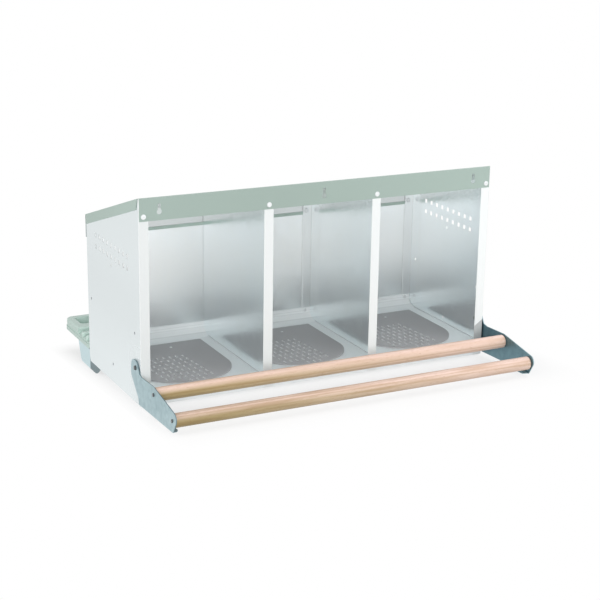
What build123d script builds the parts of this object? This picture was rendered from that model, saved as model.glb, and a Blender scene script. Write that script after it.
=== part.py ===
from build123d import *
import math
import os

# A hens' nesting box: three nests, a fold-up perch frame in front and a pull-out egg tray behind.
# While modelling, X = 0 is midway between the sides, Y = 0 the front face of the posts (+Y to the
# rear) and Z = 0 the foot of the side panels. At the end all pieces move to the bottom centre.

# Sheet-metal box
box_width = 900.0
box_depth = 351.0
nest_count = 3
sheet = 1.0
bend_radius = 1.5
post_flange = 23.0
rear_flange = 25.0
seam_gap = 0.3
roof_gap = 0.6
panel_corner_run = 6.0
panel_corner_rise = 22.0

# Roof
roof_front_height = 477.0
roof_rear_height = 364.0
fascia_height = 52.5
side_flange = 23.2
side_flange_gap = 0.2
fascia_end_inset = 3.2
relief_top = 3.0
relief_foot = 12.0
rear_skirt = 55.0
hem = 8.0

# Keyholes in the fascia for hanging the box
keyhole_drop = 33.5
keyhole_radius = 6.0
keyhole_neck = 7.0
keyhole_rise = 15.0
keyhole_side_inset = 48.5

# Floor pan with a rear cove and upstand
floor_height = 31.0
floor_side_gap = 0.7
upstand_top = 61.5
cove_run = 33.0
cove_first_run = 21.0
cove_first_rise = 5.0
cove_rise = 16.0

# Nest mats
mat_width = 238.0
mat_front = 26.0
mat_rear_gap = 17.5
mat_thickness = 3.0
mat_front_radius = 105.0
mat_rear_radius = 3.0
slot_width = 4.0
slot_length = 14.0
slot_rows = 8
slot_columns = 8
slot_pitch_x = 16.0
slot_pitch_y = 23.3
slot_skew = 2.7
first_slot_from_left = 37.0
first_slot_from_front = 8.0
mat_rivet_offset = 28.0
mat_rivet_inset = 33.5

# Vents and fixing holes in the side panels
vent_size = 10.0
vent_columns = 9
vent_rows = 2
vent_pitch_y = 26.2
vent_pitch_z = 27.4
vent_middle_y = 179.0
vent_top_z = 330.0
fixing_hole_radius = 3.5
fixing_front_inset = 34.0
fixing_rear_inset = 25.0
fixing_middle_z = 163.5
fixing_span_z = 238.0

# Perch frame
perch_diameter = 31.5
perch_end_radius = 3.0
inner_perch_reach = 88.2
inner_perch_height = 59.8
outer_perch_reach = 196.0
outer_perch_height = 38.0
bracket_thickness = 2.0
bracket_standoff = 2.6
lug_radius = 18.0
lug_half_width = 18.5
toe_tab_length = 43.0
toe_tab_width = 13.0
toe_tab_radius = 9.0
toe_tab_inset = 3.0

# Corners of the perch bracket: steps in Y and Z, with the corner's radius
lug_from_pivot = (7.5, -1.5)
hip_from_pivot = (26.8, -23.0, 14.0)
notch_from_pivot = (-17.0, -66.5, 8.0)
heel_from_pivot = (-19.5, -81.0, 4.0)
toe_from_outer_perch = (-5.0, -26.0, 4.0)
nose_from_outer_perch = (-31.0, 17.0, 15.0)
shoulder_from_inner_perch = (-2.0, 19.0, 30.0)
collar_from_pivot = (-39.0, -11.0, 6.0)
neck_from_pivot = (-24.0, -8.0, 6.0)

# Pivots of the perch frame
pivot_y = 22.0
pivot_z = 87.0
pivot_radius = 4.0
running_fit = 0.05
pivot_head_radius = 5.5
pivot_head_height = 3.5
pivot_head_play = 0.1
pivot_tip = 2.0
washer_radius = 10.0
washer_play = 0.2
nut_across_flats = 13.0
nut_height = 6.5

# Screws and rivets
broad_head_radius = 6.0
narrow_head_radius = 4.5
screw_head_height = 2.2
screw_radius = 2.0
screw_length = 6.0
screw_hole_gap = 0.1
screw_slot_width = 1.0
screw_slot_depth = 0.9
dome_share = 0.8
fascia_screw_drop = 42.0
upper_screw_drop = 44.5
lower_screw_height = 54.0
rear_screw_inset = 15.5
floor_rivet_height = 14.0
rivet_head_radius = 3.2
rivet_head_height = 1.3
rivet_radius = 1.6
rivet_length = 4.5
perch_screw_length = 32.0

# Egg tray
tray_front_gap = 5.0
tray_depth = 188.0
tray_rim_height = 55.0
tray_deck_height = 42.0
tray_wall = 2.6
tray_front_radius = 8.0
tray_rear_radius = 20.0
tray_bead = 1.5
tray_bead_height = 10.0
tray_edge_radius = 4.0
rim_from_front = 85.0
trough_from_front = 113.0
trough_width = 56.0
trough_side_rim = 19.0
trough_draft = 7.0
trough_radius = 8.0
rib_pitch = 32.0
rib_width = 14.0
rib_height = 10.0
rib_edge_radius = 5.0
rib_setback = 26.0
rib_count = 2
tongue_reach = 57.0
tongue_thickness = 2.5
tongue_side_inset = 7.0

# Tray supports
support_thickness = 2.0
support_top = 26.5
support_drop = 22.0
support_reach_in = 75.0
support_reach_out = 87.0
support_rake = 19.0
support_toe_run = 30.0
support_rear_radius = 12.0
support_front_radius = 30.0
support_heel_radius = 4.0
support_flange = 14.0

# Values that follow from the driving dimensions
half_width = box_width / 2
nest_pitch = box_width / nest_count
divider_x = half_width - nest_pitch
roof_front = -sheet
roof_rear = box_depth + 2 * sheet
roof_half_width = half_width + side_flange_gap + sheet
roof_slope = math.atan2(roof_front_height - roof_rear_height, roof_rear - roof_front)
skirt_foot = roof_rear_height - rear_skirt
upstand_front = box_depth - sheet
cove_points = [
    (upstand_front - cove_run, floor_height),
    (upstand_front - cove_run + cove_first_run, floor_height + cove_first_rise),
    (upstand_front, floor_height + cove_rise),
]
perch_radius = perch_diameter / 2
perch_end = half_width + bracket_standoff
washer_thickness = bracket_standoff - washer_play
bracket_face = perch_end + bracket_thickness
inner_perch_centre = (-inner_perch_reach, inner_perch_height)
outer_perch_centre = (-outer_perch_reach, outer_perch_height)
pivot_centre = (pivot_y, pivot_z)
hole_radius = screw_radius + screw_hole_gap
rivet_hole_radius = rivet_radius + screw_hole_gap
support_face = half_width - sheet
tray_front = box_depth + sheet + tray_front_gap
tray_bottom = support_top + seam_gap
tray_half_width = half_width
tray_rear = tray_front + tray_depth
rim_front = tray_front + rim_from_front
trough_front = tray_front + trough_from_front
trough_rear = trough_front + trough_width
support_front = box_depth - support_reach_in
support_rear = box_depth + support_reach_out
keyhole_height = roof_front_height - keyhole_drop
fascia_screw_height = roof_front_height - fascia_screw_drop
upper_screw_height = roof_rear_height - upper_screw_drop
fixing_span_y = box_depth - fixing_front_inset - fixing_rear_inset
fixing_middle_y = fixing_front_inset + fixing_span_y / 2
mat_top = floor_height + mat_thickness
fascia_end = roof_half_width - fascia_end_inset
mat_rear = cove_points[0][0] - mat_rear_gap
post_middle = post_flange / 2


def across_x(face, x, width):
    """Extrude a Y-Z drawing along +X, starting at x."""
    plane = Plane(origin=(x, 0, 0), x_dir=(0, 1, 0), z_dir=(1, 0, 0))
    return extrude(plane * face, width)


def across_y(face, y, depth):
    """Extrude an X-Z drawing along +Y, starting at y."""
    plane = Plane(origin=(0, y + depth, 0), x_dir=(1, 0, 0), z_dir=(0, -1, 0))
    return extrude(plane * face, depth)


def block(x, y, z):
    """A box between pairs of limits."""
    size = (x[1] - x[0], y[1] - y[0], z[1] - z[0])
    return Pos(x[0], y[0], z[0]) * Box(*size, align=Align.MIN)


def polygon(*points):
    """A face with straight edges."""
    return make_face(Polyline(*points, close=True))


def rounded(points, radii):
    """A face whose corners have the given radii."""
    return make_face(FilletPolyline(*points, radius=radii, close=True))


def folded(points):
    """The section of a bent sheet that lies to the right of a line along its outer face."""
    line = FilletPolyline(*points, radius=bend_radius)
    return make_face(offset(line, amount=sheet, side=Side.RIGHT))


def both_sides(shape):
    """A shape and its mirror image across the middle."""
    return [shape, mirror(shape, Plane.YZ)]


def roof_height(y):
    """Height of the roof's outer face."""
    return roof_front_height - (y - roof_front) * math.tan(roof_slope)


def panel_height(y):
    """Height of the panels' top edges, just under the roof."""
    return roof_height(y) - sheet / math.cos(roof_slope) - roof_gap


def round_holes_y(places, radius, y, depth):
    """Round holes through upright sheets that face the front."""
    return [across_y(Pos(x, z) * Circle(radius), y, depth) for x, z in places]


def post_places(z):
    """One place on the middle of each post."""
    left = (-half_width + post_middle, -divider_x + post_middle)
    return [(x, z) for x in (*left, *[-value for value in left])]


def rear_screw_places(z):
    """One place on each rear flange."""
    left = (-half_width + rear_screw_inset, -divider_x + rear_screw_inset)
    return [(x, z) for x in (*left, *[-value for value in left])]


def channel(web_x, outline):
    """An upright C-shaped sheet, its post and rear flange bent towards +X, trimmed to an outline."""
    section = folded([(post_flange, 0), (0, 0), (0, box_depth), (rear_flange, box_depth)])
    blank = extrude(section, roof_front_height)
    trimmed = blank & across_x(outline, 0, max(post_flange, rear_flange))
    sheet_part = Pos(web_x, 0, 0) * trimmed
    sheet_part -= round_holes_y(post_places(fascia_screw_height), hole_radius, -sheet, 3 * sheet)
    sheet_part -= round_holes_y(post_places(floor_rivet_height), rivet_hole_radius, -sheet, 3 * sheet)
    upper = rear_screw_places(upper_screw_height)
    return sheet_part - round_holes_y(upper, hole_radius, box_depth - 2 * sheet, 3 * sheet)


def side_panel():
    """The left side panel with its vents, fixing holes and pivot hole."""
    outline = polygon(
        (0, 0),
        (0, panel_height(0)),
        (box_depth, panel_height(box_depth)),
        (box_depth, panel_corner_rise),
        (box_depth - panel_corner_run, 0),
    )
    vent_start = vent_middle_y - (vent_columns - 1) * vent_pitch_y / 2
    vents = [
        Pos(vent_start + column * vent_pitch_y, vent_top_z - row * vent_pitch_z)
        * Rectangle(vent_size, vent_size)
        for row in range(vent_rows)
        for column in range(vent_columns)
    ]
    fixing_places = [
        (fixing_middle_y - fixing_span_y / 2, fixing_middle_z),
        (fixing_middle_y + fixing_span_y / 2, fixing_middle_z),
        (fixing_middle_y, fixing_middle_z - fixing_span_z / 2),
        (fixing_middle_y, fixing_middle_z + fixing_span_z / 2),
    ]
    fixing_holes = [Pos(*place) * Circle(fixing_hole_radius) for place in fixing_places]
    pivot_hole = Pos(*pivot_centre) * Circle(pivot_radius + screw_hole_gap)
    panel = channel(-half_width, outline)
    flange_foot = block(
        (-half_width + sheet, -half_width + rear_flange + sheet),
        (box_depth - 2 * bend_radius, box_depth + sheet),
        (-sheet, upstand_top + seam_gap),
    )
    openings = vents + fixing_holes + [pivot_hole]
    return panel - flange_foot - [across_x(face, -half_width - sheet, 3 * sheet) for face in openings]


def divider():
    """The left divider: it stands on the floor and its rear foot follows the cove."""
    foot = [(y - seam_gap, z + seam_gap) for y, z in cove_points]
    outline = polygon(
        (0, 0),
        (0, panel_height(0)),
        (box_depth, panel_height(box_depth)),
        (box_depth, upstand_top + seam_gap),
        (upstand_front - seam_gap, upstand_top + seam_gap),
        *reversed(foot),
        (sheet, floor_height + seam_gap),
        (sheet, 0),
    )
    return channel(-divider_x, outline)


def floor_pan():
    """One sheet: front skirt, level floor, rear cove in three bends and upstand."""
    section = folded(
        [(sheet, 0), (sheet, floor_height), *cove_points, (upstand_front, upstand_top)]
    )
    half = support_face - floor_side_gap
    pan = across_x(section, -half, 2 * half)
    pan -= round_holes_y(post_places(floor_rivet_height), rivet_hole_radius, 0, 3 * sheet)
    lower = rear_screw_places(lower_screw_height)
    pan -= round_holes_y(lower, hole_radius, box_depth - 2 * sheet, 3 * sheet)
    holes = [Pos(x, y, floor_height) * Cylinder(rivet_hole_radius, 4 * sheet) for x, y in mat_rivet_places()]
    return pan - holes


def back_panel():
    """The flat sheet behind the rear flanges."""
    panel = block(
        (-support_face, support_face),
        (box_depth, box_depth + sheet),
        (floor_height - sheet, skirt_foot - seam_gap),
    )
    lower = rear_screw_places(lower_screw_height)
    return panel - round_holes_y(lower, hole_radius, box_depth - sheet, 3 * sheet)


def keyhole():
    """A round bulb with a rounded neck above it."""
    neck = Pos(0, keyhole_rise / 2) * Rectangle(keyhole_neck, keyhole_rise)
    top = Pos(0, keyhole_rise) * Circle(keyhole_neck / 2)
    return Circle(keyhole_radius) + neck + top


def roof():
    """Sloping top with fascia, side flanges, rear skirt and a hem folded inwards."""
    section = folded(
        [
            (roof_front, roof_front_height - fascia_height),
            (roof_front, roof_front_height),
            (roof_rear, roof_rear_height),
            (roof_rear, skirt_foot),
        ]
    )
    hood = across_x(section, -roof_half_width, 2 * roof_half_width)
    fascia_corner = block(
        (-roof_half_width, -fascia_end),
        (roof_front, relief_top),
        (0, roof_front_height),
    )
    hood -= both_sides(fascia_corner)
    drop = side_flange / math.cos(roof_slope)
    flange_outline = polygon(
        (relief_top, roof_height(relief_top)),
        (roof_rear - bend_radius, roof_height(roof_rear - bend_radius)),
        (
            roof_rear - side_flange * math.sin(roof_slope),
            roof_rear_height - side_flange * math.cos(roof_slope),
        ),
        (relief_foot, roof_height(relief_foot) - drop),
    )
    hood += both_sides(across_x(flange_outline, -roof_half_width, sheet))
    hood += block(
        (-support_face, support_face), (box_depth, box_depth + sheet), (skirt_foot, skirt_foot + hem)
    )
    keyhole_x = half_width - keyhole_side_inset
    keyholes = [
        across_y(Pos(x, keyhole_height) * keyhole(), -2 * sheet, 3 * sheet)
        for x in (-keyhole_x, 0, keyhole_x)
    ]
    hood -= keyholes
    hood -= round_holes_y(post_places(fascia_screw_height), hole_radius, -2 * sheet, 3 * sheet)
    upper = rear_screw_places(upper_screw_height)
    return hood - round_holes_y(upper, hole_radius, box_depth, 3 * sheet)


def mat_rivet_places():
    """The rivet of each mat, near its rear edge."""
    middles = [-half_width + nest_pitch * (index + 0.5) for index in range(nest_count)]
    return [(middle + mat_rivet_offset, mat_rear - mat_rivet_inset) for middle in middles]


def nest_mat(middle):
    """A mat with round front corners and slanting rows of slots."""
    half = mat_width / 2
    face = rounded(
        [(-half, mat_front), (half, mat_front), (half, mat_rear), (-half, mat_rear)],
        [mat_front_radius, mat_front_radius, mat_rear_radius, mat_rear_radius],
    )
    start_x = -half + first_slot_from_left
    start_y = mat_front + first_slot_from_front
    slots = [
        Pos(start_x + column * slot_pitch_x + (slot_rows - 1 - row) * slot_skew, start_y + row * slot_pitch_y)
        * Rectangle(slot_width, slot_length)
        for row in range(slot_rows)
        for column in range(slot_columns)
    ]
    slots = [slot for slot in slots if (face & slot).area > slot.area - 1e-3]
    rivet_hole = Pos(mat_rivet_offset, mat_rear - mat_rivet_inset) * Circle(rivet_hole_radius)
    return Pos(middle, 0, floor_height) * extrude(face - slots - rivet_hole, mat_thickness)


def dome(radius, height):
    """A round head, flat below and domed above."""
    head = Cylinder(radius, height, align=(Align.CENTER, Align.CENTER, Align.MIN))
    return fillet(head.edges().group_by(Axis.Z)[-1], height * dome_share)


def shank(radius, length):
    """A round bar that hangs below the origin."""
    return Cylinder(radius, length, align=(Align.CENTER, Align.CENTER, Align.MAX))


def dome_screw(head_radius, length):
    """A slotted dome screw, head up."""
    head = dome(head_radius, screw_head_height)
    slot = Pos(0, 0, screw_head_height) * Box(3 * head_radius, screw_slot_width, 2 * screw_slot_depth)
    return head - slot + shank(screw_radius, length)


def rivet():
    """A blind rivet, head up."""
    return dome(rivet_head_radius, rivet_head_height) + shank(rivet_radius, rivet_length)


def facing_front(fastener, places, y):
    """Fasteners whose heads face the front."""
    return [Pos(x, y, z) * Rot(90, 0, 0) * fastener for x, z in places]


def perch(centre):
    """A round bar between the brackets, with a pilot hole in each end."""
    bar = Rot(0, 90, 0) * Cylinder(perch_radius, 2 * perch_end)
    ends = bar.edges().filter_by(GeomType.CIRCLE)
    bar = fillet(ends, perch_end_radius)
    pilot = Rot(0, 90, 0) * Cylinder(hole_radius, 2 * perch_screw_length)
    bar -= [Pos(x, 0, 0) * pilot for x in (-perch_end, perch_end)]
    return Pos(0, *centre) * bar


def step(start, move):
    """A corner at a step from a start, with its radius."""
    return (start[0] + move[0], start[1] + move[1], move[2])


def perch_bracket():
    """The left bracket: a plate from the pivot lug to the nose, with a bent-in foot tab."""
    lug_y = pivot_y + lug_from_pivot[0]
    lug_top = pivot_z + lug_from_pivot[1] + lug_half_width
    lug_front = (lug_y - lug_half_width, lug_top, lug_radius)
    lug_rear = (lug_y + lug_half_width, lug_top, lug_radius)
    hip = step(pivot_centre, hip_from_pivot)
    notch = step(pivot_centre, notch_from_pivot)
    heel = step(pivot_centre, heel_from_pivot)
    toe = step(outer_perch_centre, toe_from_outer_perch)
    nose = step(outer_perch_centre, nose_from_outer_perch)
    shoulder = step(inner_perch_centre, shoulder_from_inner_perch)
    collar = step(pivot_centre, collar_from_pivot)
    neck = step(pivot_centre, neck_from_pivot)
    corners = [lug_front, lug_rear, hip, notch, heel, toe, nose, shoulder, collar, neck]
    plate_face = rounded([corner[:2] for corner in corners], [corner[2] for corner in corners])
    holes = [Pos(*centre) * Circle(hole_radius) for centre in (inner_perch_centre, outer_perch_centre)]
    holes.append(Pos(*pivot_centre) * Circle(pivot_radius + running_fit))
    plate = across_x(plate_face - holes, -bracket_face, bracket_thickness)
    edge = Vector(0, heel[0] - toe[0], heel[1] - toe[1]).normalized()
    tab_plane = Plane(
        origin=Vector(-bracket_face, *toe[:2]), x_dir=edge, z_dir=edge.cross(Vector(1, 0, 0))
    )
    tab_end = toe_tab_inset + toe_tab_length
    tab_reach = bracket_thickness + toe_tab_width
    tab_face = rounded(
        [(toe_tab_inset, 0), (tab_end, 0), (tab_end, tab_reach), (toe_tab_inset, tab_reach)],
        [0, 0, toe_tab_radius, toe_tab_radius],
    )
    return plate + extrude(tab_plane * tab_face, -bracket_thickness)


def pivot_bolt():
    """The left pivot bolt, its head outside the bracket."""
    grip = bracket_thickness + bracket_standoff + sheet + pivot_head_play
    bolt = dome(pivot_head_radius, pivot_head_height) + shank(pivot_radius, grip + nut_height + pivot_tip)
    return Pos(-bracket_face - pivot_head_play, *pivot_centre) * Rot(0, -90, 0) * bolt


def pivot_washer():
    """The washer between the left bracket and its panel."""
    ring = Circle(washer_radius) - Circle(pivot_radius + screw_hole_gap)
    return across_x(Pos(*pivot_centre) * ring, -half_width - washer_thickness, washer_thickness)


def pivot_nut():
    """The nut on the inside of the left panel."""
    hexagon = RegularPolygon(nut_across_flats / 2, 6, major_radius=False)
    ring = hexagon - Circle(pivot_radius + running_fit)
    return across_x(Pos(*pivot_centre) * ring, -support_face, nut_height)


def tray_plan(inset):
    """The tray's outline from above, drawn in by an inset."""
    half = tray_half_width - inset
    front = tray_front
    rear = tray_rear - inset
    return rounded(
        [(-half, front), (half, front), (half, rear), (-half, rear)],
        [tray_front_radius, tray_front_radius, tray_rear_radius - inset, tray_rear_radius - inset],
    )


def egg_tray():
    """A moulded shell: ribbed deck, raised rim round an egg trough, and a tongue under the floor."""
    body = Pos(0, 0, tray_bottom) * extrude(tray_plan(tray_bead), tray_rim_height - tray_bottom)
    step = block(
        (-tray_half_width, tray_half_width), (0, rim_front), (tray_deck_height, 2 * tray_rim_height)
    )
    body -= step
    body = fillet(body.edges().group_by(Axis.Z)[-1], tray_edge_radius)
    body += Pos(0, 0, tray_bottom) * extrude(tray_plan(0), tray_bead_height)
    trough_half = tray_half_width - trough_side_rim
    mouth = rounded(
        [
            (-trough_half, trough_front),
            (trough_half, trough_front),
            (trough_half, trough_rear),
            (-trough_half, trough_rear),
        ],
        trough_radius,
    )
    trough_depth = tray_rim_height - tray_bottom - tray_wall
    body -= extrude(Plane.XY.offset(tray_rim_height) * mouth, -trough_depth, taper=trough_draft)
    deck_hollow = block(
        (-tray_half_width + tray_bead + tray_wall, tray_half_width - tray_bead - tray_wall),
        (tray_front + tray_wall, trough_front - tray_wall),
        (tray_bottom - tray_wall, tray_deck_height - tray_wall),
    )
    body -= deck_hollow
    rib_half = tray_half_width - tray_bead
    rib_face = SlotOverall(2 * rib_half, rib_width)
    rib = fillet(extrude(rib_face, rib_height).edges().group_by(Axis.Z)[-1], rib_edge_radius)
    rib_hollow = block(
        (-rib_half + rib_width, rib_half - rib_width),
        (tray_wall - rib_width / 2, rib_width / 2 - tray_wall),
        (-2 * tray_wall, rib_height - tray_wall),
    )
    rib -= rib_hollow
    rib_places = [
        Pos(0, rim_front - rib_setback - index * rib_pitch, tray_deck_height) for index in range(rib_count)
    ]
    body -= [place * rib_hollow for place in rib_places]
    body += [place * rib for place in rib_places]
    tongue_half = tray_half_width - tongue_side_inset
    return body + block(
        (-tongue_half, tongue_half),
        (tray_front - tongue_reach, tray_front + tray_wall),
        (tray_bottom, tray_bottom + tongue_thickness),
    )


def tray_support():
    """The left support: a plate on the panel's inner face with a flange under the tray."""
    plate_face = rounded(
        [
            (support_front, support_top),
            (support_rear, support_top),
            (support_rear - support_rake, -support_drop),
            (support_front + support_toe_run, -support_drop),
            (support_front, 0),
        ],
        [0, 0, support_rear_radius, support_front_radius, support_heel_radius],
    )
    plate = across_x(plate_face, -support_face, support_thickness)
    return plate + block(
        (-support_face, -support_face + support_thickness + support_flange),
        (support_front + support_thickness, support_rear - support_thickness),
        (support_top - support_thickness, support_top),
    )


def perch_screws():
    """One screw through each bracket into each end of each perch."""
    screw = Rot(0, -90, 0) * dome_screw(narrow_head_radius, perch_screw_length)
    left = [Pos(-bracket_face, *centre) * screw for centre in (inner_perch_centre, outer_perch_centre)]
    return [copy for part in left for copy in both_sides(part)]


def all_nodes():
    """Every piece by name; a list holds separate solids that share a node."""
    nodes = {}
    handed = {
        "side_panel": side_panel(),
        "divider": divider(),
        "perch_bracket": perch_bracket(),
        "pivot_bolt": pivot_bolt(),
        "pivot_washer": pivot_washer(),
        "pivot_nut": pivot_nut(),
        "tray_support": tray_support(),
    }
    for name, left in handed.items():
        nodes["left_" + name] = left
        nodes["right_" + name] = mirror(left, Plane.YZ)
    nodes["back_panel"] = back_panel()
    nodes["roof"] = roof()
    nodes["floor_pan"] = floor_pan()
    for index, name in enumerate(("left_nest_mat", "middle_nest_mat", "right_nest_mat")):
        nodes[name] = nest_mat((index - 1) * nest_pitch)
    nodes["mat_rivets"] = [Pos(x, y, mat_top) * rivet() for x, y in mat_rivet_places()]
    broad_screw = dome_screw(broad_head_radius, screw_length)
    narrow_screw = dome_screw(narrow_head_radius, screw_length)
    inner_face = box_depth - sheet
    nodes["fascia_screws"] = facing_front(broad_screw, post_places(fascia_screw_height), -sheet)
    upper = rear_screw_places(upper_screw_height)
    lower = rear_screw_places(lower_screw_height)
    nodes["upper_rear_screws"] = facing_front(broad_screw, upper, inner_face)
    nodes["lower_rear_screws"] = facing_front(narrow_screw, lower, inner_face)
    nodes["floor_rivets"] = facing_front(rivet(), post_places(floor_rivet_height), 0)
    nodes["inner_perch"] = perch(inner_perch_centre)
    nodes["outer_perch"] = perch(outer_perch_centre)
    nodes["perch_screws"] = perch_screws()
    nodes["egg_tray"] = egg_tray()
    return nodes


def write_nodes():
    """Move the whole box to its bottom centre and write one file for each node."""
    os.makedirs("parts", exist_ok=True)
    shapes = {}
    for name, piece in all_nodes().items():
        solids = [part.solid() for part in piece] if isinstance(piece, list) else piece.solids()
        shapes[name] = Compound(children=solids) if len(solids) > 1 else solids[0]
    limits = Compound(list(shapes.values())).bounding_box()
    shift = Pos(-limits.center().X, -limits.center().Y, -limits.min.Z)
    print("shift", shift.position, "size", limits.size)
    for name, shape in shapes.items():
        export_step(shift * shape, f"parts/{name}.step")


write_nodes()
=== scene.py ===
import math

import bmesh
import bpy
from bpy.props import FloatProperty, FloatVectorProperty, PointerProperty
from mathutils import Matrix, Vector


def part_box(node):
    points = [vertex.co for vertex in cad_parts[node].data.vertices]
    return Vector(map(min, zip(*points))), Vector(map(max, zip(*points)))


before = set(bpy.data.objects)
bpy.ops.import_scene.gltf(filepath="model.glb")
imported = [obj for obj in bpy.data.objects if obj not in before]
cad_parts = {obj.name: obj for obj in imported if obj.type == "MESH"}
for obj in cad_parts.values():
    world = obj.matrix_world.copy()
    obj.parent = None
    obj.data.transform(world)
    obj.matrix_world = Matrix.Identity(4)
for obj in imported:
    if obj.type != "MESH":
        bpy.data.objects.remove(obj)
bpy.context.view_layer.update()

bl_info = {
    "name": "Nesting box finishes",
    "version": (1, 0, 0),
    "blender": (4, 5, 0),
    "location": "3D View > Sidebar > Nesting box",
    "description": "Finishes and studio for a three-nest hens' nesting box",
    "category": "Object",
}

WALLS = ("left_side_panel", "right_side_panel", "left_divider", "right_divider")
PLATES = ("left_perch_bracket", "left_tray_support", "right_tray_support")
MATS = ("left_nest_mat", "middle_nest_mat", "right_nest_mat")
BRIGHT_FIXINGS = ("mat_rivets", "fascia_screws", "floor_rivets")
REAR_FIXINGS = ("upper_rear_screws", "lower_rear_screws")
FORWARD_SHADED_FIXINGS = (
    "perch_screws",
    "left_pivot_bolt",
    "right_pivot_bolt",
    "left_pivot_washer",
    "right_pivot_washer",
    "left_pivot_nut",
    "right_pivot_nut",
)

# Each perch with the offset of its pith, the strength of its streaks, and the tints of its two ends, which
# paint its light and shade
PERCHES = (
    ("inner_perch", (0.05, -0.06), 0.8, ((0.90, 0.90, 0.90), (1.12, 1.14, 1.21))),
    ("outer_perch", (-0.07, -0.03), 2.4, ((0.74, 0.74, 0.71), (1.06, 1.08, 1.14))),
)

WHITE = (1.0, 1.0, 1.0)
BLACK = (0.0, 0.0, 0.0)

# A face looks along an axis when its share that way, or the share's square, is past FACING,
# and belongs to a bend when the squares of two of its shares are past ROUNDED
FACING = 0.5
ROUNDED = 0.02

# Places on the box that the finishes go by, in metres
PANEL_LOW, PANEL_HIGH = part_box("left_side_panel")
MAT_LOW, MAT_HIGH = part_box("middle_nest_mat")
NEST_PITCH = 2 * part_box("right_divider")[1].x
HALF_WIDTH = -PANEL_LOW.x
FLOOR_TOP = MAT_LOW.z
SKIN_DEPTH = 0.0015
PANEL_SKIN = HALF_WIDTH - SKIN_DEPTH
ROOF_SKIRT_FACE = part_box("roof")[1].y - SKIN_DEPTH
ROOF_FLANGE_X = 0.2
ROOF_FALL = 0.319
UNDER_ROOF = 0.4205
POST_DEPTH = 0.0136
POST_REAR = PANEL_LOW.y + POST_DEPTH
FLANGE_DEPTH = 0.0074
FLANGE_FRONT = PANEL_HIGH.y - FLANGE_DEPTH
FLANGE_WIDTH = PANEL_HIGH.x - PANEL_LOW.x
FLANGE_RIM = 0.0018
FLANGE_EDGE = FLANGE_WIDTH - FLANGE_RIM
FLANGE_SHADOW = 0.0025
VENT_FOOT = 0.28
FOOT_GAP = 0.0001
WALL_FOOT = FLOOR_TOP + FOOT_GAP
SEAM_HEIGHT = 0.0018
COVE_RISE = 0.0015
COVE_FOOT = FLOOR_TOP + COVE_RISE
FOLD_RISES = (0.0052, 0.0162, 0.0222)
FOLD_HEIGHTS = tuple(FLOOR_TOP + rise for rise in FOLD_RISES)
FOLD_HALF = 0.0006
MAT_CORNER = 0.105
MAT_RIM = 0.0008
MAT_FRONT_HALF = MAT_HIGH.x - MAT_CORNER
MAT_ARC_Y = MAT_LOW.y + MAT_CORNER
MAT_ARC_RADIUS = MAT_CORNER - MAT_RIM

# Zinc-dipped steel: how fine its crystals, clouds and rolled streaks are, and what each adds
SHEET_CRYSTAL = 45.0
SHEET_STREAKS = (90.0, 90.0, 4.0)
PLATE_CRYSTAL = 110.0
PLATE_STREAKS = (70.0, 70.0, 50.0)
ZINC_CLOUD = 6.0
CRYSTAL_TONE = 0.15
CLOUD_TONE = 0.45
STREAK_TONE = 0.4
ZINC_RANGE = (0.25, 0.75)
CRYSTAL_DULLNESS = 0.6
STREAK_DULLNESS = 0.4
SHEET_RIPPLE = 120.0
SHEET_RIPPLE_DEPTH = 0.0002

# Walls: how metallic, rough and dark their outsides, posts, bends and vents are, with painted shade on the
# outsides' middle, the posts and the bends
SHEET_METAL = 0.9
WALL_ROUGHNESS = 0.17
WALL_SPANGLE = 0.1
FLANGE_ROUGHNESS = 0.33
BEND_SHADE = 0.8
VENT_SHADE = 0.62
OUTER_TINT = (0.815, 0.845, 0.855)
OUTER_MIDDLE_SHADE = 0.95
MIDDLE_STARTS = (0.08, 0.2)
MIDDLE_ENDS = (0.26, 0.36)
POST_ROUGHNESS = 0.6
POST_SHADE = 0.76
POST_FOOT_X = 0.42
POST_FOOT_TOP = 0.0925
POST_FOOT_LEAN = 0.7
POST_FOOT_SHADE = 0.6
# Painted shadow beside the left bracket's lug, fading out to the rear and upwards
LUG_REAR_FADE = (-0.14, -0.09)
LUG_TOP_FADE = (0.12, 0.17)

# Back sheet
BACK_METAL = 1.0
BACK_ROUGHNESS = 0.28
BACK_SPANGLE = 0.1
FLANGE_LINE = 0.88

# Floor pan
FLOOR_METAL = 0.35
COVE_METAL = 0.2
FLOOR_ROUGHNESS = 0.42
FLOOR_SPANGLE = 0.06
FLOOR_SHADE = 0.05
FOLD_SHADE = 0.35

# Brackets and tray supports, with painted shade on the supports under the box and painted light behind it
PLATE_METAL = 0.8
PLATE_EDGE_METAL = 0.3
PLATE_ROUGHNESS = 0.32
PLATE_SPANGLE = 0.08
SUPPORT_SHADE = 0.5
SUPPORT_LIGHT = 1.1

# Screws, rivets and pivots
PLATING_GRAIN = 900.0
PLATING_SHADE = 0.82
PLATING_TURN = (-0.15, 0.3)
PLATING_ROUGHNESS = 0.26
PLATING_GRIT = 0.2
PLATING_MATT = 0.3
BRIGHT_METAL = 0.6
CLEAR_METAL = 1.0
# Painted shade on the side of the perch screws' and pivots' heads that faces forward
FIXING_FORWARD_SHADE = 0.15

# Roof: green paint outside, bare zinc inside, with painted light and shade on the fascia, painted light on
# the hem and painted shade on the rear skirt
PAINT_CLOUD = 9.0
PAINT_TONES = (0.97, 1.03)
FASCIA_PAINTED_LIGHT = (0.85, 1.05)
FASCIA_SPAN = (-0.1, 0.45)
HEM_PAINTED_LIGHT = 1.25
SKIRT_SHADE = 0.7
PAINT_ROUGHNESS = 0.40
PAINT_GRIT = 0.10
ROOF_ZINC_GLOSS = 0.22

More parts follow.
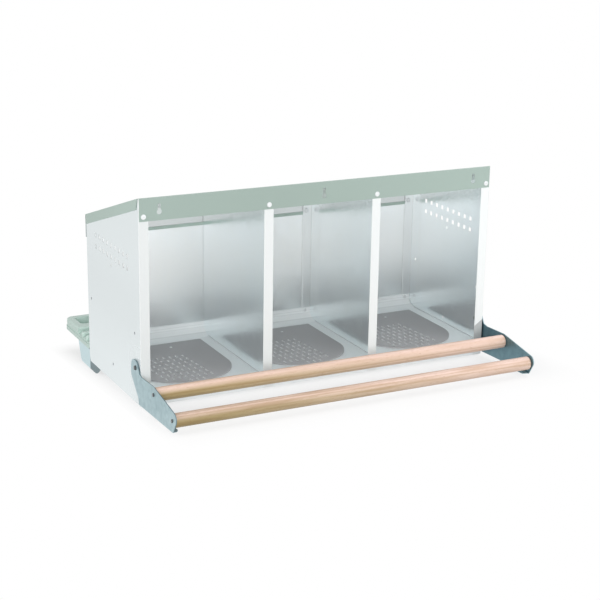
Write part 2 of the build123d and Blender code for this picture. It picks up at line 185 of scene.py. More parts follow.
# Plastic of the mats and the tray
PLASTIC_CLOUD = 12.0
PLASTIC_GRIT = 0.15
MAT_GRAIN = 900.0
MAT_TONES = (0.96, 1.04)
MAT_ROUGHNESS = 0.5
TRAY_GRAIN = 500.0
TRAY_GRAIN_DEPTH = 0.0003
TRAY_GRAIN_STRENGTH = 0.35
TRAY_TONES = (0.93, 1.06)
TRAY_ROUGHNESS = 0.3

# Wood of the perches: its rings, fibres, flecks and streaks, and its painted shade on the underside
RING_COUNT = 330.0
RING_WANDER = 3.2
WANDER_STRETCH = (1.6, 14.0, 14.0)
FIBRE_STRETCH = (9.0, 700.0, 700.0)
FLECK_STRETCH = (70.0, 1300.0, 1300.0)
STREAK_STRETCH = (6.0, 130.0, 130.0)
FLECK_RANGE = (0.64, 0.72)
FLECK_DEPTH = 0.8
RING_TONE = 0.55
FIBRE_TONE = 0.55
STREAK_MIDDLE = 0.5
GRAIN_RANGE = (0.15, 0.8)
UNDERSIDE_SHADE_TURN = (0.2, 0.8)
UNDERSIDE_SHADE_SPAN = (-0.35, 0.3)
UNDERSIDE_SHADE_LEAST = 0.2
END_SPAN = (-0.4, 0.4)
WOOD_ROUGHNESS = 0.42
FIBRE_GRIT = 0.18
FIBRE_DEPTH = 0.0003
FIBRE_STRENGTH = 0.3

# Studio: where its floor lies and the box's soft shadow ends, how its light travels, and its camera
FLOOR_TOE_Y = -0.364
FLOOR_HEEL_Y = 0.157
FLOOR_GAP = 0.0005
FLOOR_HALF = 30.0
FLOOR_PALE = 0.95
SHADOW_LEFT = (-0.485, -0.435)
SHADOW_RIGHT = (0.49, 0.60)
SHADOW_FRONT = (-0.46, -0.27)
SHADOW_REAR = (0.36, 0.44)
REAR_FADE = (-0.2, 0.5)
LIGHT_BOUNCES = 16
GLOSS_BOUNCES = 12
IMAGE_PIXELS = 600
SENSOR_MM = 36.0
VIEW_LENGTH = 100.0

# Each lamp with its place, aim, width and height, the name of its power, and whether metal mirrors it
LAMPS = (
    ("key_lamp", (1.1, -0.6, 2.8), (0.0, -0.2, 0.2), (2.6, 1.8), "key_power", False),
    ("front_lamp", (1.3, -2.9, 0.9), (0.1, 0.0, 0.22), (2.4, 1.4), "fill_power", True),
    ("side_lamp", (-3.2, -0.6, 1.2), (0.0, 0.0, 0.2), (2.2, 1.6), "side_power", False),
    ("near_lamp", (-1.5, -3.0, 0.9), (0.0, 0.1, 0.15), (1.4, 1.0), "near_power", False),
)


def screen(red, green, blue):
    """A colour read off a screen as 0-255 values, as the linear values that shaders use."""
    return tuple(((value / 255 + 0.055) / 1.055) ** 2.4 for value in (red, green, blue))


def toned(tone, share):
    """A colour made darker or lighter, at most full."""
    return tuple(min(1.0, value * share) for value in tone)


def colour(name, description, red, green, blue):
    """A colour property whose default is given in screen values."""
    return FloatVectorProperty(
        name=name,
        description=description,
        subtype="COLOR",
        size=3,
        min=0.0,
        max=1.0,
        default=screen(red, green, blue),
    )


def angle(name, description, degrees):
    """An angle property whose default is given in degrees."""
    return FloatProperty(
        name=name, description=description, subtype="ANGLE", default=math.radians(degrees)
    )


def power(name, description, watts):
    """A property for the power of a lamp."""
    return FloatProperty(name=name, description=description, unit="POWER", default=watts, min=0.0)


def portion(name, description, share):
    """A property that goes from nought to one."""
    return FloatProperty(
        name=name, description=description, subtype="FACTOR", default=share, min=0.0, max=1.0
    )


class NestBoxFinishes(bpy.types.PropertyGroup):
    """Colours of the box's sheet metal, paint, plastic and wood."""

    sheet_light: colour("Sheet, light", "Bright spangles of the galvanised sheet", 251, 255, 255)
    sheet_dark: colour("Sheet, dark", "Dull spangles of the galvanised sheet", 248, 253, 255)
    sheet_seam: colour("Sheet, seam", "Dark line where the walls meet the floor", 200, 203, 205)
    sheet_cut: colour("Sheet, cut edge", "Edges of the small holes in the left panel", 120, 125, 128)
    # The shade colour below is painted shade: a darker zinc standing in for the shade close under the roof
    sheet_shade: colour("Sheet, shade", "Dull zinc close under the roof", 222, 228, 226)
    plate_light: colour("Plate, light", "Bright spangles of the thick galvanised plate", 192, 213, 217)
    plate_dark: colour("Plate, dark", "Dull spangles of the thick galvanised plate", 146, 172, 178)
    plate_cut: colour("Plate, cut edge", "Cut edges of the thick galvanised plate", 104, 128, 136)
    # The three colours below make a shaded copy of the plate for the right bracket: painted shade on its
    # faces and painted light on its cut edges
    shaded_plate_light: colour("Dull plate, light", "Bright spangles of the dull right bracket", 112, 144, 154)
    shaded_plate_dark: colour("Dull plate, dark", "Dull spangles of the dull right bracket", 86, 116, 127)
    shaded_plate_lit_cut: colour("Dull plate, cut edge", "Cut edges of the dull right bracket", 150, 178, 186)
    zinc: colour("Zinc", "Bright plating of the screws and rivets in the box", 234, 237, 238)
    # The perch screws and pivots take this plating with painted shade on the forward side of their heads
    perch_fixing_zinc: colour("Dull zinc", "Plating of the perch screws and pivot bolts", 236, 242, 244)
    roof_green: colour("Roof green", "Paint on the outside of the roof", 168, 186, 178)
    mat_grey: colour("Mat grey", "Plastic of the nest mats", 190, 190, 192)
    # The slot colour below is painted light: pale slot walls standing in for the bright floor pan seen
    # through the slots
    mat_slot_light: colour("Mat slots", "Pale walls of the slots in the mats", 238, 239, 240)
    tray_green: colour("Tray green", "Moulded plastic of the egg tray", 190, 210, 202)
    wood_pale: colour("Wood, pale", "Early wood of the perches", 240, 211, 195)
    wood_brown: colour("Wood, brown", "Late wood of the perches", 216, 184, 160)
    wood_fleck: colour("Wood, flecks", "Short dark flecks in the perches", 196, 156, 124)
    # The underside tint below is painted shade, laid on the underside of the perches
    wood_underside_shade: colour("Wood, underside", "Tint of the worn underside of the perches", 196, 198, 158)


class NestBoxStudio(bpy.types.PropertyGroup):
    """Camera, lamps and floor of the studio."""

    camera_place: FloatVectorProperty(
        name="Camera",
        description="Where the camera stands",
        subtype="TRANSLATION",
        unit="LENGTH",
        default=(-1.53666, -3.08217, 1.21498),
    )
    camera_turn: angle("Turn", "Compass turn of the camera round the box", -26.88)
    camera_height: angle("Elevation", "How far the camera looks down", 16.85)
    camera_roll: angle("Roll", "Tilt of the picture", 0.90)
    focal_pixels: FloatProperty(
        name="Focal length",
        description="Focal length in pixels of the picture",
        default=1481.87,
        min=100.0,
    )
    key_power: power("Key lamp", "Power of the large lamp overhead", 30.0)
    fill_power: power("Front lamp", "Power of the large lamp in front", 16.0)
    side_power: power("Side lamp", "Power of the lamp on the left", 42.0)
    near_power: power("Near lamp", "Power of the lamp beside the camera", 48.0)
    room_light: portion("Room light", "Strength of the light from all round", 0.36)
    floor_tone: portion("Floor tone", "How pale the floor is to light that falls on it", 0.55)
    floor_glow: portion("Floor glow", "Share of plain white in the floor as the camera sees it", 0.67)
    floor_rear: portion("Rear floor", "How much of that white shiny metal sees behind the box", 0.8)


class Wire:
    """An output socket that takes part in plain sums."""

    def __init__(self, finish, socket):
        self.finish = finish
        self.socket = socket

    def maths(self, operation, first, second):
        node = self.finish.add("ShaderNodeMath", {"operation": operation}, {0: first, 1: second})
        return self.finish.out(node)

    def __add__(self, other):
        return self.maths("ADD", self, other)

    def __radd__(self, other):
        return self.maths("ADD", other, self)

    def __sub__(self, other):
        return self.maths("SUBTRACT", self, other)

    def __rsub__(self, other):
        return self.maths("SUBTRACT", other, self)

    def __mul__(self, other):
        return self.maths("MULTIPLY", self, other)

    def __rmul__(self, other):
        return self.maths("MULTIPLY", other, self)

    def __pow__(self, other):
        return self.maths("POWER", self, other)

    def __gt__(self, other):
        return self.maths("GREATER_THAN", self, other)

    def __lt__(self, other):
        return self.maths("LESS_THAN", self, other)

    def highest(self, other):
        return self.maths("MAXIMUM", self, other)

    def size(self):
        """The value without its sign."""
        return self.highest(self * -1.0)


class Finish:
    """A material or a world in the making: its node tree and its main shader."""

    def __init__(self, owner, shader="Principled BSDF"):
        owner.use_nodes = True
        self.owner = owner
        self.tree = owner.node_tree
        self.shader = self.tree.nodes[shader]

    def add(self, kind, settings=None, sockets=None):
        """A new node; its settings are set before its sockets."""
        node = self.tree.nodes.new(kind)
        for key, value in (settings or {}).items():
            setattr(node, key, value)
        self.feed(node, sockets or {})
        return node

    def feed(self, node, sockets):
        """Link or set the given inputs of a node."""
        for key, value in sockets.items():
            socket = node.inputs[key]
            if isinstance(value, Wire):
                self.tree.links.new(value.socket, socket)
            elif socket.type == "RGBA" and len(value) == 3:
                socket.default_value = (*value, 1.0)
            else:
                socket.default_value = value

    def out(self, node, key=0):
        return Wire(self, node.outputs[key])

    def coordinates(self, kind):
        """One kind of coordinates of the surface, such as Object or Normal."""
        return self.out(self.add("ShaderNodeTexCoord"), kind)

    def place(self, centre=(0.0, 0.0, 0.0), stretch=(1.0, 1.0, 1.0)):
        """Object coordinates, centred and stretched."""
        shift = [-value * factor for value, factor in zip(centre, stretch)]
        sockets = {"Vector": self.coordinates("Object"), "Location": shift, "Scale": stretch}
        return self.out(self.add("ShaderNodeMapping", sockets=sockets))

    def axes(self, vector):
        node = self.add("ShaderNodeSeparateXYZ", sockets={0: vector})
        return [self.out(node, axis) for axis in range(3)]

    def facing(self):
        """How far the surface faces along x, y and z."""
        return self.axes(self.coordinates("Normal"))

    def noise(self, vector, scale=1.0, detail=2.0):
        sockets = {"Vector": vector, "Scale": scale, "Detail": detail}
        return self.out(self.add("ShaderNodeTexNoise", sockets=sockets), "Fac")

    def cells(self, vector, scale):
        """One random value for each cell of a crystal pattern."""
        node = self.add("ShaderNodeTexVoronoi", sockets={"Vector": vector, "Scale": scale})
        separate = self.add("ShaderNodeSeparateColor", sockets={0: self.out(node, "Color")})
        return self.out(separate)

    def mix(self, share, first, second, blend="MIX"):
        """A colour between two colours, or the first one blended with the second."""
        settings = {"data_type": "RGBA", "blend_type": blend}
        return self.out(self.add("ShaderNodeMix", settings, {0: share, 6: first, 7: second}), 2)

    def layers(self, base, *coats):
        """A colour with others laid over it, each through its own mask."""
        for mask, tone in coats:
            base = self.mix(mask, base, tone)
        return base

    def between(self, value, low, high, from_low, from_high):
        """A value moved from one range into another, held at its ends."""
        sockets = {
            "Value": value,
            "From Min": from_low,
            "From Max": from_high,
            "To Min": low,
            "To Max": high,
        }
        return self.out(self.add("ShaderNodeMapRange", sockets=sockets))

    def rise(self, value, start, end):
        """Nought up to the start, one from the end on."""
        return self.between(value, 0.0, 1.0, start, end)

    def fall(self, value, start, end):
        """One up to the start, nought from the end on."""
        return self.between(value, 1.0, 0.0, start, end)

    def wrapped(self, value, span):
        """A value taken round and round a span that has zero in its middle."""
        sockets = {0: value, 1: span / 2, 2: -span / 2}
        return self.out(self.add("ShaderNodeMath", {"operation": "WRAP"}, sockets))

    def relief(self, height, depth, strength=1.0):
        sockets = {"Height": height, "Distance": depth, "Strength": strength}
        return self.out(self.add("ShaderNodeBump", sockets=sockets))

    def set(self, **sockets):
        """Set the main shader's sockets; an underscore stands for a space."""
        self.feed(self.shader, {key.replace("_", " "): value for key, value in sockets.items()})
        return self.owner


def new_finish(name):
    """A fresh material to be filled in."""
    return Finish(bpy.data.materials.new(name))


def any_of(mask, *others):
    """One wherever any of the masks is."""
    for other in others:
        mask = mask.highest(other)
    return mask


def under_roof(y, z):
    """A mask for the strip close under the sloping roof, where shade is painted."""
    return z + y * ROOF_FALL > UNDER_ROOF


def zinc_bloom(finish, light, dark, crystal=SHEET_CRYSTAL, streaks=SHEET_STREAKS):
    """Colour and dullness of zinc-dipped steel."""
    here = finish.place()
    large = finish.cells(here, crystal)
    cloud = finish.noise(here, ZINC_CLOUD, detail=1.0)
    rolled = finish.noise(finish.place(stretch=streaks), detail=3.0)
    tone = finish.rise(CRYSTAL_TONE * large + CLOUD_TONE * cloud + STREAK_TONE * rolled, *ZINC_RANGE)
    return finish.mix(tone, dark, light), CRYSTAL_DULLNESS * large + STREAK_DULLNESS * rolled


def sheet_ripple(finish):
    """The faint unevenness of thin sheet, which mottles what it mirrors."""
    return finish.relief(finish.noise(finish.place(), SHEET_RIPPLE), SHEET_RIPPLE_DEPTH)


def outer_zinc(finish, light, z):
    """The outside of a side panel, with painted shade a little darker across its middle."""
    skin = [value * share for value, share in zip(light, OUTER_TINT)]
    middle = finish.rise(z, *MIDDLE_STARTS) * finish.fall(z, *MIDDLE_ENDS)
    return finish.mix(middle, skin, toned(skin, OUTER_MIDDLE_SHADE))


def post_zinc(finish, light, x, z):
    """The front of the posts, with painted shade darker to the left and painted shade in a corner at the
    foot of the right one.
    """
    below = z < WALL_FOOT
    paleness = finish.between(x, POST_SHADE, 1.0, -HALF_WIDTH, HALF_WIDTH).highest(below)
    corner = (x > POST_FOOT_X) * (z < POST_FOOT_TOP + POST_FOOT_LEAN * (x - POST_FOOT_X))
    shade = corner * (1.0 - below) * (1.0 - POST_FOOT_SHADE)
    return finish.mix(paleness * (1.0 - shade), BLACK, light)


def galvanised_walls(light, dark, seam, cut, shade):
    """Side panels and dividers: dull outside, satin posts, bright inside, a dark line along the floor;
    painted shade under the roof, at the rear bends, on the posts and beside the lug, and a painted
    highlight at the flange edges.
    """
    finish = new_finish("galvanised_walls")
    zinc, dull = zinc_bloom(finish, light, dark)
    facing_x, facing_y = finish.facing()[:2]
    x, y, z = finish.axes(finish.place())
    sideways = facing_x * facing_x
    left = x < 0.0
    front = y < POST_REAR
    rear = y > FLANGE_FRONT
    outside = facing_x * x > NEST_PITCH
    post = (facing_y < -FACING) * front
    post_back = (facing_y > FACING) * front
    wall = (sideways > FACING) * (1.0 - outside)
    foot = wall * (z > WALL_FOOT) * (z < WALL_FOOT + SEAM_HEIGHT)
    flange = rear * (facing_y < -FACING)
    from_web = finish.wrapped(x + NEST_PITCH / 2, NEST_PITCH)
    # Painted highlight: a strip along each rear flange's free edge loses its metal and shows pale
    flange_highlight = flange * (from_web * from_web > FLANGE_EDGE ** 2)
    # Painted shade: a darker line along the bends at the rear of the walls
    bend = rear * (sideways > ROUNDED) * (facing_y * facing_y > ROUNDED)
    pierced = (x * x > PANEL_SKIN ** 2) * (sideways < FACING) * (1.0 - front) * (y < FLANGE_FRONT)
    # Painted shade on the inside zinc close under the roof
    roof_shade = under_roof(y, z) * (1.0 - outside) * (1.0 - front)
    # Painted shadow beside the left bracket's lug: there the outside of the left panel loses its metal
    lug_shadow = outside * left * finish.fall(y, *LUG_REAR_FADE) * finish.fall(z, *LUG_TOP_FADE)
    bare = (1.0 - post) * (1.0 - any_of(foot, flange_highlight, post_back, pierced))
    satin = flange * (FLANGE_ROUGHNESS - WALL_ROUGHNESS) + post * (POST_ROUGHNESS - WALL_ROUGHNESS)
    return finish.set(
        Base_Color=finish.layers(
            zinc,
            (outside, outer_zinc(finish, light, z)),
            (post, post_zinc(finish, light, x, z)),
            (pierced * left, toned(light, VENT_SHADE)),
            (foot, seam),
            (pierced * left * (z < VENT_FOOT), cut),
            (roof_shade, shade),
            (bend, toned(light, BEND_SHADE)),
        ),
        Metallic=(1.0 - outside * (1.0 - SHEET_METAL)) * (1.0 - lug_shadow) * bare,
        Roughness=WALL_ROUGHNESS + WALL_SPANGLE * dull + satin,
        Normal=sheet_ripple(finish),
    )


def galvanised_back(light, dark):
    """The back sheet, duller than the walls, with a thin shadow beside each flange."""
    finish = new_finish("galvanised_back")
    zinc, dull = zinc_bloom(finish, light, dark)
    facing_y = finish.facing()[1]
    x = finish.axes(finish.place())[0]
    from_web = finish.wrapped(x.size() + NEST_PITCH / 2, NEST_PITCH)
    beside = (from_web < -FLANGE_WIDTH) * (from_web > -FLANGE_WIDTH - FLANGE_SHADOW)
    return finish.set(
        Base_Color=finish.mix(beside * (facing_y < -FACING), zinc, toned(light, FLANGE_LINE)),
        Metallic=BACK_METAL,
        Roughness=BACK_ROUGHNESS + BACK_SPANGLE * dull,
        Normal=sheet_ripple(finish),
    )


def galvanised_floor(light, dark, seam):
    """The floor pan, with painted shade in fine lines along the folds of its rear cove."""
    finish = new_finish("galvanised_floor")
    zinc, dull = zinc_bloom(finish, light, dark)
    y, z = finish.axes(finish.place())[1:]
    rear = y > 0.0
    # Painted shade in fine lines along the folds of the rear cove
    folds = [(z - height) * (z - height) < FOLD_HALF ** 2 for height in FOLD_HEIGHTS]
    return finish.set(
        Base_Color=finish.layers(zinc, (FLOOR_SHADE, seam), (FOLD_SHADE * any_of(*folds) * rear, seam)),
        Metallic=FLOOR_METAL + (COVE_METAL - FLOOR_METAL) * (z > COVE_FOOT) * rear,
        Roughness=FLOOR_ROUGHNESS + FLOOR_SPANGLE * dull,
    )


def galvanised_plate(name, light, dark, cut):
    """Thick zinc-dipped plate with cut edges of another tone; a support has painted shade where it lies
    under the box and painted light behind it.
    """
    finish = new_finish(name)
    zinc, dull = zinc_bloom(finish, light, dark, PLATE_CRYSTAL, PLATE_STREAKS)
    facing_x = finish.facing()[0]
    y = finish.axes(finish.place())[1]
    edge = facing_x * facing_x < FACING
    # Painted light on a support behind its panel and painted shade where it lies under the box
    clear = y > PANEL_HIGH.y
    covered = (y > 0.0) * (y < PANEL_HIGH.y)
    return finish.set(
        Base_Color=finish.layers(
            zinc,
            (clear, toned(light, SUPPORT_LIGHT)),
            (covered, toned(dark, SUPPORT_SHADE)),
            (edge, cut),
        ),
        Metallic=PLATE_METAL - (PLATE_METAL - PLATE_EDGE_METAL) * edge,
        Roughness=PLATE_ROUGHNESS + PLATE_SPANGLE * dull,
    )


def zinc_plating(name, tone, metal, forward_shade=1.0):
    """Plating of small fixings; a forward shade under one paints shade on the side of each head that faces
    forward.
    """
    finish = new_finish(name)
    cloud = finish.noise(finish.place(), PLATING_GRAIN)
    plating = finish.mix(cloud, toned(tone, PLATING_SHADE), tone)
    forward = finish.fall(finish.facing()[1], *PLATING_TURN)
    return finish.set(
        Base_Color=finish.mix(forward, plating, toned(tone, forward_shade)),
        Metallic=metal,
        Roughness=PLATING_ROUGHNESS + PLATING_GRIT * cloud + PLATING_MATT * (1.0 - metal),
    )


def roof_paint(green, light, dark, shade):
    """Green paint outside and bare zinc inside, told apart by which way the sheet faces, with painted
    light and shade on the fascia and hem and painted shade on the rear skirt's zinc.
    """
    finish = new_finish("roof_paint")
    facing_x, facing_y, facing_z = finish.facing()
    here = finish.place()
    x, y, z = finish.axes(here)
    forward = facing_y < -FACING
    underside = facing_z < -FACING
    fascia_back = (facing_y > FACING) * (y < 0.0)
    flange_back = facing_x * x < -ROOF_FLANGE_X
    skirt_front = forward * (y > ROOF_SKIRT_FACE)
    hem_front = forward * (y > 0.0) * (1.0 - skirt_front)
    inside = any_of(underside, fascia_back, skirt_front, flange_back)
    cloud = finish.noise(here, PAINT_CLOUD, detail=4.0)
    # Painted shade and light along the fascia: darker to the left, lighter to the right
    along = finish.rise(x, *FASCIA_SPAN)
    fascia = finish.mix(along, *[toned(green, share) for share in FASCIA_PAINTED_LIGHT])
    painted = finish.layers(
        finish.mix(cloud, *[toned(green, share) for share in PAINT_TONES]),
        (forward * (y < 0.0), fascia),
        # Painted light on the hem: a lighter green than the rest of the paint
        (hem_front, toned(green, HEM_PAINTED_LIGHT)),
    )
    zinc = finish.layers(
        zinc_bloom(finish, light, dark)[0],
        # Painted shade on the rear skirt's zinc, darker still close under the roof
        (skirt_front, toned(light, SKIRT_SHADE)),
        (skirt_front * under_roof(y, z), shade),
    )
    return finish.set(
        Base_Color=finish.mix(inside, painted, zinc),
        Metallic=inside * SHEET_METAL,
        Roughness=PAINT_ROUGHNESS + PAINT_GRIT * cloud - inside * ROOF_ZINC_GLOSS,
    )


def moulded_plastic(finish, tone, tones, grain):
    """A clouded colour and a fine etched grain for moulded plastic."""
    here = finish.place()
    cloud = finish.noise(here, PLASTIC_CLOUD, detail=3.0)
    return finish.mix(cloud, *[toned(tone, share) for share in tones]), finish.noise(here, grain)


def tray_plastic(green):
    """Green tray with an etched grain."""
    finish = new_finish("tray_plastic")
    clouded, etched = moulded_plastic(finish, green, TRAY_TONES, TRAY_GRAIN)
    return finish.set(
        Base_Color=clouded,
        Roughness=TRAY_ROUGHNESS + PLASTIC_GRIT * etched,
        Normal=finish.relief(etched, TRAY_GRAIN_DEPTH, TRAY_GRAIN_STRENGTH),
    )


def mat_plastic(grey, pale):
    """Grey mat with a fine grain, with painted light on the walls inside its slots."""
    finish = new_finish("mat_plastic")
    clouded, etched = moulded_plastic(finish, grey, MAT_TONES, MAT_GRAIN)
    facing_z = finish.facing()[2]
    x, y = finish.axes(finish.place())[:2]
    across = finish.wrapped(x, NEST_PITCH)
    sideways = (across.size() - MAT_FRONT_HALF).highest(0.0)
    from_middle = (sideways ** 2.0 + (y - MAT_ARC_Y) ** 2.0) ** 0.5
    # Painted light: the pale colour goes on the slot walls
    slot = (from_middle < MAT_ARC_RADIUS) * (facing_z * facing_z < FACING)
    return finish.set(
        Base_Color=finish.mix(slot, clouded, pale),
        Roughness=MAT_ROUGHNESS + PLASTIC_GRIT * etched,
    )


def turned_beech(name, centre, pith, figure, ends, pale, brown, fleck, under):
    """Beech with growth rings about a distant pith, fine fibres, flecks and streaks, painted light and
    shade along its length, lighter to the right, and painted shade on its underside, deeper to the left.
    """
    finish = new_finish(name)
    wander = finish.noise(finish.place(centre, WANDER_STRETCH))
    x, y, z = finish.axes(finish.place(centre))
    across = ((y - pith[0]) ** 2.0 + (z - pith[1]) ** 2.0) ** 0.5
    rings = across * RING_COUNT + wander * RING_WANDER
    ring = finish.out(finish.add("ShaderNodeMath", {"operation": "PINGPONG"}, {0: rings, 1: 1.0}))
    fibre = finish.noise(finish.place(centre, FIBRE_STRETCH), detail=3.0)
    specks = finish.noise(finish.place(centre, FLECK_STRETCH), detail=1.0)
    flecks = finish.between(specks, 0.0, FLECK_DEPTH, *FLECK_RANGE)
    streak = finish.noise(finish.place(centre, STREAK_STRETCH))
    grain = RING_TONE * ring ** 2.0 + FIBRE_TONE * fibre + figure * (streak - STREAK_MIDDLE)
    wood = finish.layers(pale, (finish.rise(grain, *GRAIN_RANGE), brown), (flecks, fleck))
    # Painted light and shade along each perch: its ends' tints, lighter to the right
    end_light = finish.mix(finish.rise(x, *END_SPAN), *ends)
    facing_z = finish.facing()[2]
    # Painted shade on the underside of each perch, deeper to the left
    underside_shade = finish.fall(facing_z, *UNDERSIDE_SHADE_TURN) * finish.between(x, 1.0, UNDERSIDE_SHADE_LEAST, *UNDERSIDE_SHADE_SPAN)
    wood = finish.mix(1.0, wood, end_light, "MULTIPLY")
    return finish.set(
        Base_Color=finish.mix(underside_shade, wood, under, "MULTIPLY"),
        Roughness=WOOD_ROUGHNESS + FIBRE_GRIT * fibre,
        Normal=finish.relief(fibre, FIBRE_DEPTH, FIBRE_STRENGTH),
    )


def paint(material, *names):
    """Give nodes of the frame one finish all over."""
    for name in names:
        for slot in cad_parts[name].material_slots:
            slot.material = material


class NESTBOX_OT_sheets(bpy.types.Operator):
    """Galvanise the side panels, dividers, back and floor"""

    bl_idname = "nestbox.sheets"
    bl_label = "Galvanised sheets"

    def execute(self, context):
        finishes = context.scene.nest_box_finishes
        light, dark, seam = finishes.sheet_light, finishes.sheet_dark, finishes.sheet_seam
        paint(galvanised_walls(light, dark, seam, finishes.sheet_cut, finishes.sheet_shade), *WALLS)
        paint(galvanised_back(light, dark), "back_panel")
        paint(galvanised_floor(light, dark, seam), "floor_pan")
        return {"FINISHED"}


class NESTBOX_OT_roof(bpy.types.Operator):
    """Paint the roof green outside and leave its zinc bare inside"""

    bl_idname = "nestbox.roof"
    bl_label = "Roof"

    def execute(self, context):
        finishes = context.scene.nest_box_finishes
        light, dark, shade = finishes.sheet_light, finishes.sheet_dark, finishes.sheet_shade
        paint(roof_paint(finishes.roof_green, light, dark, shade), "roof")
        return {"FINISHED"}


class NESTBOX_OT_mats(bpy.types.Operator):
    """Finish the slotted plastic mats"""

    bl_idname = "nestbox.mats"
    bl_label = "Nest mats"

    def execute(self, context):
        finishes = context.scene.nest_box_finishes
        paint(mat_plastic(finishes.mat_grey, finishes.mat_slot_light), *MATS)
        return {"FINISHED"}


class NESTBOX_OT_perches(bpy.types.Operator):
    """Grain the two wooden perches"""

    bl_idname = "nestbox.perches"
    bl_label = "Perches"

    def execute(self, context):
        finishes = context.scene.nest_box_finishes
        tones = (finishes.wood_pale, finishes.wood_brown, finishes.wood_fleck, finishes.wood_underside_shade)
        for name, pith, figure, ends in PERCHES:
            low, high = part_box(name)
            centre = (low + high) / 2
            paint(turned_beech(name + "_beech", centre, pith, figure, ends, *tones), name)
        return {"FINISHED"}


class NESTBOX_OT_plates(bpy.types.Operator):
    """Galvanise the perch brackets and tray supports"""

    bl_idname = "nestbox.plates"
    bl_label = "Brackets and supports"

    def execute(self, context):
        finishes = context.scene.nest_box_finishes
        light, dark, cut = finishes.plate_light, finishes.plate_dark, finishes.plate_cut
        paint(galvanised_plate("galvanised_plate", light, dark, cut), *PLATES)
        # The right bracket gets a shaded copy of the plate: painted shade on its faces and painted light
        # on its cut edges
        light, dark, cut = finishes.shaded_plate_light, finishes.shaded_plate_dark, finishes.shaded_plate_lit_cut
        paint(galvanised_plate("galvanised_plate_dull", light, dark, cut), "right_perch_bracket")
        return {"FINISHED"}


class NESTBOX_OT_fixings(bpy.types.Operator):
    """Plate the screws, rivets and pivot bolts"""

    bl_idname = "nestbox.fixings"
    bl_label = "Fixings"

    def execute(self, context):
        finishes = context.scene.nest_box_finishes
        paint(zinc_plating("zinc_plating", finishes.zinc, BRIGHT_METAL), *BRIGHT_FIXINGS)
        paint(zinc_plating("clear_plating", finishes.zinc, CLEAR_METAL), *REAR_FIXINGS)
        # The perch screws and pivots get painted shade on the forward side of their heads
        dull = zinc_plating("dull_plating", finishes.perch_fixing_zinc, CLEAR_METAL, FIXING_FORWARD_SHADE)
        paint(dull, *FORWARD_SHADED_FIXINGS)
        return {"FINISHED"}


class NESTBOX_OT_egg_tray(bpy.types.Operator):
    """Finish the moulded egg tray"""

    bl_idname = "nestbox.egg_tray"
    bl_label = "Egg tray"

    def execute(self, context):
        paint(tray_plastic(context.scene.nest_box_finishes.tray_green), "egg_tray")
        return {"FINISHED"}


def seen_by_eye(finish):
    """Two masks, for rays straight from the camera and for those by way of gloss or glass."""
    path = finish.add("ShaderNodeLightPath")
    mirrored = finish.out(path, "Is Glossy Ray").highest(finish.out(path, "Is Transmission Ray"))
    return finish.out(path, "Is Camera Ray"), mirrored


def floor_finish(studio):
    """A pale floor that shows white, keeps a soft shadow near the box and fades to plain white far off."""
    finish = new_finish("studio_floor")
    camera, mirrored = seen_by_eye(finish)
    x, y = finish.axes(finish.place())[:2]
    under = finish.rise(x, *SHADOW_LEFT) * finish.fall(x, *SHADOW_RIGHT)
    under = under * finish.rise(y, *SHADOW_FRONT) * finish.fall(y, *SHADOW_REAR)
    far = 1.0 - under * (1.0 - studio.floor_glow)
    behind = finish.between(y, 1.0, studio.floor_rear, *REAR_FADE)
    paleness = finish.mix(camera.highest(mirrored), (studio.floor_tone,) * 3, (FLOOR_PALE,) * 3)
    shown = (far * camera).highest(mirrored * behind)
    lit = finish.add("ShaderNodeBsdfDiffuse", sockets={"Color": paleness})
    glow = finish.add("ShaderNodeEmission", sockets={"Color": WHITE, "Strength": 1.0})
    sockets = {0: shown, 1: finish.out(lit), 2: finish.out(glow)}
    both = finish.add("ShaderNodeMixShader", sockets=sockets)
    finish.feed(finish.tree.nodes["Material Output"], {"Surface": finish.out(both)})
    finish.owner.cycles.emission_sampling = "NONE"
    return finish.owner


def room_world(studio):
    """Plain white all round, dimmer to light that falls on things."""
    finish = Finish(bpy.data.worlds.new("studio_room"), "Background")
    camera, mirrored = seen_by_eye(finish)
    strength = camera.highest(mirrored) * (1.0 - studio.room_light) + studio.room_light
    world = finish.set(Color=WHITE, Strength=strength)
    world.cycles.sampling_method = "NONE"
    bpy.context.scene.world = world


def area_lamp(name, place, aim, size, watts, mirrored):
    """A large soft lamp at a place, turned to face a point; shiny metal may mirror it."""
    data = bpy.data.lights.new(name, "AREA")
    data.shape = "RECTANGLE"
    data.size, data.size_y = size
    data.energy = watts
    lamp = bpy.data.objects.new(name, data)
    bpy.context.scene.collection.objects.link(lamp)
    lamp.location = place
    lamp.rotation_euler = (Vector(aim) - Vector(place)).to_track_quat("-Z", "Y").to_euler()
    lamp.visible_glossy = mirrored


def studio_floor(material):
    """The floor under the box, leaning as the box leans on the toes of its brackets."""
    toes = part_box("left_perch_bracket")[0]
    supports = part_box("left_tray_support")[0]
    front = Vector((0.0, FLOOR_TOE_Y, toes.z))
    rear = Vector((0.0, FLOOR_HEEL_Y, supports.z))
    slope = math.atan2(rear.z - front.z, rear.y - front.y)
    mesh = bmesh.new()
    bmesh.ops.create_grid(mesh, x_segments=1, y_segments=1, size=FLOOR_HALF)
    bmesh.ops.rotate(mesh, verts=mesh.verts, cent=(0, 0, 0), matrix=Matrix.Rotation(slope, 3, "X"))
    bmesh.ops.translate(mesh, verts=mesh.verts, vec=rear - Vector((0.0, 0.0, FLOOR_GAP)))
    data = bpy.data.meshes.new("studio_floor")
    mesh.to_mesh(data)
    mesh.free()
    data.materials.append(material)
    floor = bpy.data.objects.new("studio_floor", data)
    bpy.context.scene.collection.objects.link(floor)


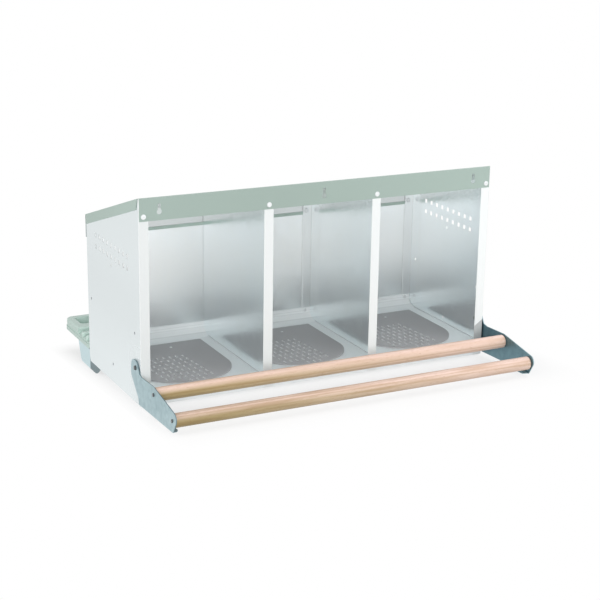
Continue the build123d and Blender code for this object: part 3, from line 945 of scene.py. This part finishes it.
def studio_camera(studio):
    """A camera at the picture's viewing angle."""
    turn, height, roll = studio.camera_turn, studio.camera_height, studio.camera_roll
    level = math.cos(height)
    back = Vector((math.sin(turn) * level, -math.cos(turn) * level, math.sin(height)))
    right = (-back).cross(Vector((0.0, 0.0, 1.0))).normalized()
    up = right.cross(-back)
    right, up = (
        math.cos(roll) * right + math.sin(roll) * up,
        math.cos(roll) * up - math.sin(roll) * right,
    )
    data = bpy.data.cameras.new("studio_camera")
    data.sensor_width = SENSOR_MM
    data.lens = studio.focal_pixels * SENSOR_MM / IMAGE_PIXELS
    data.clip_end = VIEW_LENGTH
    camera = bpy.data.objects.new("studio_camera", data)
    bpy.context.scene.collection.objects.link(camera)
    turned = Matrix((right, up, back)).transposed().to_4x4()
    camera.matrix_world = Matrix.Translation(studio.camera_place) @ turned
    bpy.context.scene.camera = camera


class NESTBOX_OT_studio(bpy.types.Operator):
    """Make the floor, lamps, world and camera"""

    bl_idname = "nestbox.studio"
    bl_label = "Studio"

    def execute(self, context):
        studio = context.scene.nest_box_studio
        studio_floor(floor_finish(studio))
        room_world(studio)
        for name, place, aim, size, power_name, mirrored in LAMPS:
            area_lamp(name, place, aim, size, getattr(studio, power_name), mirrored)
        studio_camera(studio)
        context.scene.view_settings.view_transform = "Standard"
        context.scene.cycles.max_bounces = LIGHT_BOUNCES
        context.scene.cycles.glossy_bounces = GLOSS_BOUNCES
        return {"FINISHED"}


class NESTBOX_PT_panel(bpy.types.Panel):
    """Lists the box's pieces and the values behind them"""

    bl_idname = "NESTBOX_PT_panel"
    bl_label = "Nesting box"
    bl_space_type = "VIEW_3D"
    bl_region_type = "UI"
    bl_category = "Nesting box"

    def draw(self, context):
        for operator in OPERATORS:
            self.layout.operator(operator.bl_idname)
        for group in (context.scene.nest_box_finishes, context.scene.nest_box_studio):
            column = self.layout.column()
            for key in group.__annotations__:
                column.prop(group, key)


OPERATORS = (
    NESTBOX_OT_sheets,
    NESTBOX_OT_roof,
    NESTBOX_OT_mats,
    NESTBOX_OT_perches,
    NESTBOX_OT_plates,
    NESTBOX_OT_fixings,
    NESTBOX_OT_egg_tray,
    NESTBOX_OT_studio,
)
CLASSES = (NestBoxFinishes, NestBoxStudio, *OPERATORS, NESTBOX_PT_panel)


def register():
    for entry in CLASSES:
        bpy.utils.register_class(entry)
    bpy.types.Scene.nest_box_finishes = PointerProperty(type=NestBoxFinishes)
    bpy.types.Scene.nest_box_studio = PointerProperty(type=NestBoxStudio)


def unregister():
    del bpy.types.Scene.nest_box_studio
    del bpy.types.Scene.nest_box_finishes
    for entry in reversed(CLASSES):
        bpy.utils.unregister_class(entry)


def main():
    """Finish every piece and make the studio."""
    register()
    for operator in OPERATORS:
        group, name = operator.bl_idname.split(".")
        getattr(getattr(bpy.ops, group), name)()


if __name__ == "__main__":
    main()
